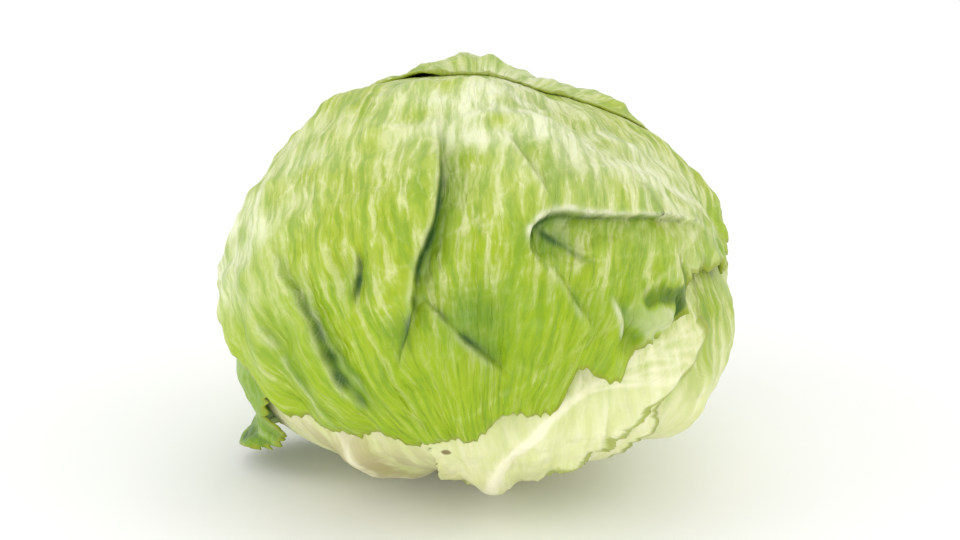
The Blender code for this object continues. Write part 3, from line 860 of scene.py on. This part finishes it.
def make_leaf(leaves, index):
    """Both faces of a leaf, from the same formulas as its solid, with veins and puckers raised.

    The blade swells by 1 minus a bell curve of the distance to the nearest vein, and wrinkles
    by noise that is stretched along its fan. The edge lifts in a sum of sines round it. The
    inner face keeps to where the leaf rests, and joins the outer one only near the free edge.
    """
    leaf = leaves[index]
    bearing = leaf.ray_bearings()
    veins = grow_veins(leaf)
    fields = {}
    for rings, outer_side in ((leaf.rings, True), (leaf.inner_rings, False)):
        spacing = np.linspace(0.0, 1.0, rings + 1)
        shares = spacing**leaf.ring_power if outer_side else 1.0 - (1.0 - spacing) ** 1.6
        turn = np.broadcast_to(bearing, (rings + 1, leaf.rays))
        directions = leaf.direction_at(turn, shares[:, None] * leaf.reach(turn, leaf.nicks))
        rest, free, thickness, share = layer(leaves, index, directions)
        form, lip_highlights, crease_shades, shades, shift = leaf.relief(directions)
        edge = smooth_step((share - 0.72) / 0.28) ** 2
        wave = 0.5 + 0.5 * leaf.edge_waves(turn, (leaf.waves, 2 * leaf.waves - 1), leaf.seed + 9)
        frill = leaf.edge_waves(turn, (3 * leaf.waves + 2, 5 * leaf.waves - 3), leaf.seed + 31)
        lift = form * (1.0 - 0.75 * edge) + leaf.lift * edge * (wave + 0.22 * frill)
        if leaf.snug:
            closed = 1.0 - 0.65 * nearness(directions, *leaf.gape)
            closed *= smooth_step((share - 0.86) / 0.12)
            lift = lift * (1.0 - closed) - leaf.snug * closed
        for *place, height, count in leaf.frills:
            near = nearness(directions, *place)
            curl = 0.6 * leaf.edge_waves(turn, (count, 1.37 * count, 2.23 * count), leaf.seed + 41)
            curl += 0.7 * grain(directions * HEAD_RADIUS, 0.011, leaf.seed + 42)
            margin = near * smooth_step((share - 0.84) / 0.16)
            lift += height * margin * (0.3 + 1.2 * curl)
            # The frill's curled-up crests get a painted highlight, and the hollows under its curls
            # painted shade
            lip_highlights = np.maximum(lip_highlights, 0.8 * margin * smooth_step(2.4 * curl))
            under = near * smooth_step((share - 0.82) / 0.1) * smooth_step(-2.2 * curl)
            crease_shades = np.maximum(crease_shades, 0.9 * under)
        where = directions * HEAD_RADIUS
        grown = leaf.grown(directions)
        long_grown = grown * (1, 1, 0.16)
        streak = grain(long_grown, 0.0045, leaf.seed + 5)
        ridge, nearest = vein_form(directions, veins)
        swell = 1.0 - bell(nearest / 0.0035)
        fine = RIDGE * ridge + PUCKER * swell * (0.7 + 0.7 * grain(where, 0.011, leaf.seed + 7))
        fine += 0.0011 * grain(where, 0.024, leaf.seed + 8) + 0.00022 * streak
        fine += 0.0010 * grain(long_grown, 0.014, leaf.seed + 4)
        fine += 0.00016 * grain(where, 0.005, leaf.seed + 6)
        fine *= 0.12 + 0.88 * free
        lifted = free * np.maximum(lift, -leaf.snug)
        inner = lifted * smooth_step((share - 0.80) / 0.14)
        if outer_side:
            tapered = fine * smooth_step((1 - share) / 0.03 + 0.3)
            above = np.maximum(lifted + thickness + tapered, inner + BLADE_EDGE)
        else:
            above = inner
        points = leaf_points(leaves, index, directions, rest, above)
        if outer_side:
            points = points + shift * (free * (1 - edge))[..., None]
        points[..., 2] = np.maximum(points[..., 2], FLOOR_CLEARANCE)
        away, _, along, _ = distance_to_line(directions, leaf.rib)
        from_stem = np.degrees(angle_between(directions, -TILT[:, 2]))
        low, high = leaf.cream
        cream = 1.0 - smooth_step((from_stem - low + 5 * streak) / (high - low))
        on_rib = bell(away / (RIB_WIDTH * (1.25 - 0.9 * along))) * (1 - along) ** 0.6
        inwards = (1 - share) * leaf.reach(turn) * HEAD_RADIUS
        browned = 1 - nearness(directions, *leaf.clean)
        from_spot = angle_between(directions, direction(*BROWN_SPOT)) * HEAD_RADIUS
        fresh = leaf.fresh
        values = {
            "place": points,
            "grown": grown,
            "spot": bell(from_spot / SPOT_RADIUS),
            "vein": ridge,
            "cream": np.maximum(cream, 0.9 * on_rib),
            "lip": np.clip(lip_highlights, 0, 1),
            "dip": np.clip(crease_shades, 0, 1),
            "shade": np.clip(shades, 0, 1),
            "edge": browned * (1 - smooth_step(inwards / leaf.border)),
            "fresh": fresh(directions) if callable(fresh) else np.full(share.shape, fresh),
            "dry": nearness(directions, *DRIED_PLACE),
            "bloom": painted_sheen(directions),
        }
        for name, value in values.items():
            fields.setdefault(name, []).append(flat_grid(value))
    joined = {name: np.concatenate(value) for name, value in fields.items()}
    quads, triangles = disc_faces(leaf.rays, leaf.rings, leaf.inner_rings)
    return new_piece(leaf.name + "_fine", joined.pop("place"), quads, triangles, joined)


def crown_freshness(directions):
    """0 on the pale crown and 1 on the bright green below it, most on the lower right.

    A smooth step down the elevation, which seeded noise makes ragged, and a bell curve in azimuth.
    """
    azimuth = np.degrees(np.arctan2(directions[..., 0], -directions[..., 1]))
    elevation = np.degrees(np.arcsin(np.clip(directions[..., 2], -1.0, 1.0)))
    level = elevation + 7.0 * grain(directions * HEAD_RADIUS, 0.035, 77)
    right = bell((azimuth - 22.0) / 34.0)
    low = smooth_step((46.0 - level) / 50.0) * (0.80 + 0.20 * right)
    return np.clip(low + 0.25 * right * smooth_step((30.0 - level) / 30.0), 0.0, 1.0)


ROUND = ((0, 88), (45, 86), (90, 84), (135, 84), (180, 90), (225, 84), (270, 84), (315, 86))
FRONT_LEFT = ((0, 80), (45, 80), (90, 82), (135, 84), (180, 90), (225, 84), (270, 84), (315, 80))
BACK_LEFT = (
    (0, 86), (45, 90), (66, 98), (100, 98), (110, 96), (119, 93), (128, 89), (135, 84),
    (139, 79), (142, 75), (147, 70), (155, 66), (164, 66), (171, 70), (177, 76), (184, 86),
    (225, 84), (270, 78), (315, 82),
)
BACK = (
    (4, 68), (15, 75), (28, 72), (61, 66), (100, 68), (123, 72), (150, 80), (180, 96),
    (225, 78), (267, 50), (310, 46), (335, 50), (350, 57),
)
FRONT = (
    (4, 76), (20, 75), (40, 70), (58, 63), (71, 55), (83, 46), (90, 41), (97, 34), (106, 30),
    (115, 28), (135, 27.5), (154, 31), (164, 37), (171, 50), (176, 70), (182, 70), (187, 52),
    (196, 41), (211, 32), (230, 24), (261, 20), (294, 27), (316, 41), (334, 56), (350, 67),
)
CROWN = (
    (-105, -12), (-92, -8), (-80, -8), (-71, -9.5), (-64, -13), (-57, -17.5), (-49, -22),
    (-38, -24), (-24, -22.5), (-14, -24), (-7, -19.5), (-2, -19), (3, -12.5), (15, -12), (19.5, -5),
    (27, -5), (31, 0.5), (38, 4), (46, 8), (51, 13.5), (66, 11), (80, 6), (95, 14),
    (112, 28), (135, 42), (150, 30), (158, -8), (162, -46), (180, -82), (-150, -56),
    (-130, -34), (-117, -20),
)
# Folds: the line, the height and width of the lip on its left and of the drop on its right, the
# strength of the painted highlight on the lip and of the painted shade over the drop, and where
# along the line the painted shade is darkest
CREVICE = (
    (-17, -2), (-17.5, 8), (-18, 17), (-18, 25), (-16, 35), (-17.5, 46), (-24, 58), (-47, 72),
)
TUCK = ((13, 24), (9, 29), (9.5, 34.5), (17, 37.5), (30, 36), (45, 32.5), (60, 26.5), (71, 14))
LEFT_CREASE = ((-18, -23), (-27, -15), (-35, -6), (-46, 9), (-53, 14), (-67, 24))
RIGHT_CREASE = ((6, -5), (0, 1.5), (-6, 7.5), (-11.5, 13), (-18, 19))
SMALL_CREASE = ((-31, 11), (-32, 17), (-33.5, 22), (-35, 28))
LOW_CREASE = ((-17.5, 17), (-18, 10), (-18.5, 4), (-20, -3))
LEFT_PLEAT = ((-30, -27), (-40, -15), (-52, -3), (-66, 8))
MIDDLE_PLEAT = ((-20, -16), (-30, -6), (-40, 4), (-50, 20))
TOP_PLEAT = ((16, 36), (12, 50), (4, 64))
RIGHT_PLEAT = ((24, 4), (19, 14), (12, 28))
TUCK_CREASE = ((9, 37), (13, 34), (17, 30.5), (22, 26.5), (27, 23))
RIM_CREASE = ((28, 2), (29, 9), (27.5, 16))
CROWN_FOLDS = (
    (CREVICE, 0.0030, 0.019, 0.0034, 0.007, 0.30, 1.0, 0.52),
    (TUCK, 0.0028, 0.015, 0.0030, 0.009, 1.0, 0.9, 0.34),
    (LEFT_CREASE, 0.0016, 0.014, 0.0026, 0.006, 0.25, 0.9, 0.35),
    (RIGHT_CREASE, 0.0012, 0.013, 0.0024, 0.007, 0.2, 1.0, 0.45),
    (SMALL_CREASE, 0.0008, 0.008, 0.0018, 0.004, 0.1, 0.9, 0.5),
    (LOW_CREASE, 0.0006, 0.007, 0.0018, 0.005, 0.1, 0.8, 0.4),
    (TUCK_CREASE, 0.0004, 0.006, 0.0020, 0.007, 0.1, 1.0, 0.36),
    (RIM_CREASE, 0.0006, 0.005, 0.0014, 0.004, 0.6, 0.8, 0.5),
    (LEFT_PLEAT, 0.0009, 0.009, 0.0010, 0.006, 0.35, 0.25, 0.5),
    (MIDDLE_PLEAT, 0.0008, 0.008, 0.0009, 0.006, 0.25, 0.2, 0.5),
    (TOP_PLEAT, 0.0008, 0.009, 0.0009, 0.007, 0.3, 0.2, 0.5),
    (RIGHT_PLEAT, 0.0007, 0.008, 0.0010, 0.007, 0.3, 0.25, 0.5),
)

LEAVES = [
    # The innermost of them, on the left and nearly covered
    Leaf("wrapper_left_inner", (-95, 0), ((-95, -77), (-95, -30), (-95, 30)), reaches=ROUND,
         seed=11, rays=150, rings=34, inner_rings=8, rib_height=0.0018),
    # The right side, pale at its base
    Leaf("wrapper_right", (100, 2), ((100, -77), (100, -30), (98, 40)), reaches=ROUND, seed=12,
         rays=380, rings=90, puff=0.0014, pleats=0.0014, cream=(42, 98), fresh=0.35),
    # The left of the front, whose base has dried a little
    Leaf("wrapper_front_left", (-38, 0), ((-30, -77), (-40, -40), (-40, 30)),
         reaches=FRONT_LEFT, seed=13, rays=340, rings=80, puff=0.0012, pleats=0.0012,
         cream=(60, 130), fresh=0.2),
    # The dark leaf from behind, with a ragged lobe that bends out at the lower left
    Leaf("wrapper_back_left", (-160, -2), ((-140, -77), (-152, -30), (-162, 40)),
         reaches=BACK_LEFT, puff=0.0012, pleats=0.0012, seed=14, rays=440, rings=110,
         inner_rings=30, dense=(141, 0.45), rib_height=0.0016,
         flare=(-92, -31, 20, 0.014, 66), ring_power=0.72, cream=(20, 45), fresh=1.25,
         frills=((-94, -52, 16, 0.0024, 37),), nicks=3.0),
    # The pale leaf at the lower right of the front, on a thick midrib
    Leaf("wrapper_front", (6, -16),
         ((4, -77), (1, -50), (5, -33), (15, -15), (27, -5), (40, 4), (48, 24)), reaches=FRONT,
         seed=15, rays=360, rings=90, puff=0.0012, pleats=0.0010, lift=0.0024,
         cream=(50, 120), fresh=0.30, border=0.0060, clean=(-14, -30, 20)),
    # The large leaf over the crown and the front, with the folds
    Leaf("wrapper_crown", (-150, 78), ((178, -80), (-170, -20), (-150, 60)), outline=CROWN,
         seed=16, rays=500, rings=168, inner_rings=28, dense=(38, 0.56), fan=(180, 60),
         folds=CROWN_FOLDS, puff=0.0028, pleats=0.0014, lift=0.0034, waves=11,
         rib_height=0.0022, looseness=0.0004, veins=(42, -125, 125), cream=(14, 40),
         fresh=crown_freshness, frills=((44, 6, 13, 0.0042, 41),), grain_fan=(180, 38),
         hollows=((-4, 13, 8, 0.0022, 0.80), (-32, 18, 6, 0.0010, 0.45),
                  (17, 31, 5, 0.0016, 0.90))),
    # The back, which closes over the crown leaf's edge but for one gap
    Leaf("wrapper_back", (165, 8), ((140, -77), (160, -30), (166, 50)), reaches=BACK, seed=17,
         rays=420, rings=100, lift=0.0008, puff=0.0014, pleats=0.0014, rib_height=0.0034,
         cream=(20, 75), fresh=0.45, snug=0.0010, gape=(-132, 68, 5), grain_fan=(165, -72)),
]

YELLOW_GREEN = (0.37, 0.475, 0.018)
BRIGHT_GREEN = (0.315, 0.455, 0.001)
STREAK_GREEN = (0.20, 0.35, 0.006)
PATCH_GREEN = (0.21, 0.36, 0.006)
DARK_GREEN = (0.18, 0.34, 0.008)
PALE_VEIN = (0.66, 0.69, 0.31)
CREAM_FLESH = (0.93, 0.91, 0.66)
GREEN_FLESH = (0.70, 0.74, 0.33)
DRIED_FLESH = (0.40, 0.33, 0.14)
SHEEN_WHITE = (0.78, 0.81, 0.53)
SHADED_GREEN = (0.105, 0.24, 0.010)
CREASE_SHADE_GREEN = (0.022, 0.085, 0.008)
LIP_HIGHLIGHT_WHITE = (0.76, 0.77, 0.56)
OLIVE_EDGE = (0.29, 0.35, 0.02)
SPOT_BROWN = (0.16, 0.09, 0.02)

crisp = Finish(
    "crisp_leaf", Roughness=0.4, Specular_IOR_Level=0.25, Coat_Weight=0.22, Coat_Roughness=0.28,
    Coat_IOR=1.45, Subsurface_Weight=0.12, Subsurface_Radius=(0.7, 1.0, 0.25),
    Subsurface_Scale=0.0016,
)
where = crisp.place(1, 1, 1)
grown = crisp.node("ShaderNodeAttribute", {"attribute_name": "grown"}, output=1)
vein, cream, fresh = crisp.field("vein"), crisp.field("cream"), crisp.field("fresh")
lip, dip, shade = crisp.field("lip"), crisp.field("dip"), crisp.field("shade")
edge, spot, dry = crisp.field("edge"), crisp.field("spot"), crisp.field("dry")
bloom = crisp.field("bloom")
# Noise in the leaf's grown coordinates, bent a little and drawn out along the veins
warp = crisp.node("ShaderNodeTexNoise", output=1, Vector=where, Scale=55.0, Detail=2.0)
WARP = 0.0042
warp = crisp.node("ShaderNodeVectorMath", {"operation": "MULTIPLY"}, i0=warp, i1=(WARP, WARP, WARP))
bent = crisp.node("ShaderNodeVectorMath", {"operation": "ADD"}, i0=grown, i1=warp)


def drawn_out(share):
    """The leaf's bent coordinates, shrunk to a share along the veins, so that noise runs along."""
    return crisp.node("ShaderNodeMapping", i0=bent, i3=(1, 1, share))


long_fine = crisp.noise(drawn_out(0.15), 330, 4.0, 0.6)
long_broad = crisp.noise(drawn_out(0.28), 120, 3.0, 0.55)
long_veins = crisp.noise(drawn_out(0.20), 150, 3.0, 0.5)
thread = 1 - (crisp.math("ABSOLUTE", long_veins - 0.5) * 26).step(0.0, 1.0)
patch = crisp.noise(where, 42, 4.0, 0.55)
broad_patch = crisp.noise(drawn_out(0.45), 45, 3.0, 0.6)
speckle = crisp.noise(where, 380, 3.0, 0.6)
cells = crisp.node(
    "ShaderNodeTexVoronoi", {"feature": "DISTANCE_TO_EDGE"}, Vector=drawn_out(0.45), Scale=210.0
)
small_cells = crisp.node(
    "ShaderNodeTexVoronoi", {"feature": "DISTANCE_TO_EDGE"}, Vector=bent, Scale=560.0
)
netting = (1 - cells.step(0.0, 0.10)) * 0.7 + (1 - small_cells.step(0.0, 0.16)) * 0.3
# The greens, with darker streaks and patches, and the pale net of veins over them
green = (fresh + (long_broad - 0.5) * 1.5 + (patch - 0.5) * 0.9).step(0.0, 1.0)
green = green.mix(YELLOW_GREEN, BRIGHT_GREEN)
green = (long_fine.step(0.50, 0.64) * 0.7).mix(green, STREAK_GREEN)
green = (broad_patch.step(0.50, 0.68) * 0.45).mix(green, PATCH_GREEN)
green = fresh.step(1.0, 1.35).mix(green, DARK_GREEN)
pale = long_fine.step(0.54, 0.36) * 0.58 + thread * 0.28 * patch.step(0.4, 0.6) + vein * 0.9
pale = (pale + netting * 0.22) * (1 - fresh.step(0.0, 1.2) * 0.62)
green = pale.step(0.05, 1.0).mix(green, PALE_VEIN)
# The flesh near the stem, the painted sheen, and then the painted shade and highlight of the folds,
# the olive edge and the brown spot
flesh = (patch * 0.4 + long_fine * 0.6 - vein * 0.5).step(0.20, 0.62).mix(CREAM_FLESH, GREEN_FLESH)
flesh = (dry * (long_broad.step(0.42, 0.58) * 0.65 + 0.20)).mix(flesh, DRIED_FLESH)
colour = (cream + (long_fine - 0.5) * 0.5).step(0.12, 0.88).mix(green, flesh)
# Painted sheen: whitish where the lights graze the rims and the crown
colour = (bloom * (long_fine.step(0.64, 0.42) * 0.55 + 0.42)).mix(colour, SHEEN_WHITE)
# Painted shade over the folds' drop sides and in the hollows
colour = (shade * 0.85).mix(colour, SHADED_GREEN)
# Painted shade along the creases and under the frills' curls
colour = (dip * 0.95).mix(colour, CREASE_SHADE_GREEN)
# Painted highlight along the fold lips and on the frills' curled-up crests
colour = (lip * 0.9).mix(colour, LIP_HIGHLIGHT_WHITE)
colour = (edge.step(0.03, 0.7) * 0.8).mix(colour, OLIVE_EDGE)
colour = (spot.step(0.3, 0.7) * 0.85).mix(colour, SPOT_BROWN)
relief = speckle * 0.3 + cells.step(0.0, 0.35) * 0.8 + long_fine * 0.6 + thread * 0.35
relief = relief * (1 - cream.step(0.2, 1.0) * 0.6)
crisp.feed(
    Base_Color=colour,
    Roughness=0.36 + speckle * 0.14,
    Normal=crisp.bump(relief, 0.00045),
)

for index, leaf in enumerate(LEAVES):
    piece = make_leaf(LEAVES, index)
    piece.data.materials.append(crisp.material)
    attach(piece, "root")
    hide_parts(leaf.name)

# The floor, the light and the camera
# A plain near-white floor and world, large soft lights above and to both sides, whose gloss
# runs along the crown and the sides, and a long lens 20 degrees above the level.

FLOOR_SIZE = 6.0
FLOOR_WHITE = (0.94, 0.94, 0.94)
FLOOR_WARM_WHITE = (0.95, 0.95, 0.94)
WORLD_LIGHT = 0.80
LENS = 150.0
CAMERA_ELEVATION = 20.0
SEEN_HEIGHT = 0.1405  # the head's height square to the camera's line of sight
FILLS = 430 / 540  # the share of the picture's height that it takes up
PICTURE_SHAPE = 540 / 960
FARTHEST = 20.0
AIM = (-0.0085, 0.0, 0.0680)

bpy.ops.mesh.primitive_plane_add(size=FLOOR_SIZE, location=(0, 0, 0))
floor = bpy.context.object
floor.name = "floor"
paper = Finish("white_floor", Roughness=0.9)
clouds = paper.noise(paper.place(1, 1, 1), 3.0).step(0.0, 1.0)
paper.feed(Base_Color=clouds.mix(FLOOR_WHITE, FLOOR_WARM_WHITE))
floor.data.materials.append(paper.material)

world = bpy.data.worlds.new("studio")
world.use_nodes = True
sky = world.node_tree.nodes["Background"].inputs
sky["Color"].default_value = (1.0, 1.0, 1.0, 1.0)
sky["Strength"].default_value = WORLD_LIGHT
bpy.context.scene.world = world


def soft_light(name, azimuth, elevation, distance, size, power):
    """A square soft light that faces the head from a direction and a distance."""
    light = bpy.data.lights.new(name, "AREA")
    light.shape = "SQUARE"
    light.size = size
    light.energy = power
    lamp = bpy.data.objects.new(name, light)
    bpy.context.scene.collection.objects.link(lamp)
    away = Vector([float(v) for v in direction(azimuth, elevation)])
    lamp.location = Vector(AIM) + away * distance
    lamp.rotation_euler = away.to_track_quat("Z", "Y").to_euler()


soft_light("left_soft", -75, 30, 1.1, 0.9, 3.2)
soft_light("right_soft", 85, 30, 1.1, 0.9, 3.0)
soft_light("top_soft", 180, 70, 1.2, 1.0, 2.4)
soft_light("front_soft", -10, 6, 1.9, 1.1, 11.0)

camera_data = bpy.data.cameras.new("camera")
camera_data.lens = LENS
camera = bpy.data.objects.new("camera", camera_data)
bpy.context.scene.collection.objects.link(camera)
sensor_height = camera_data.sensor_width * PICTURE_SHAPE
distance = LENS * (SEEN_HEIGHT / FILLS) / sensor_height
back = Vector([float(v) for v in direction(0, CAMERA_ELEVATION)])
camera.location = Vector(AIM) + back * distance
camera.rotation_euler = back.to_track_quat("Z", "Y").to_euler()
camera_data.clip_end = FARTHEST
bpy.context.scene.camera = camera
bpy.context.scene.view_settings.view_transform = "Standard"
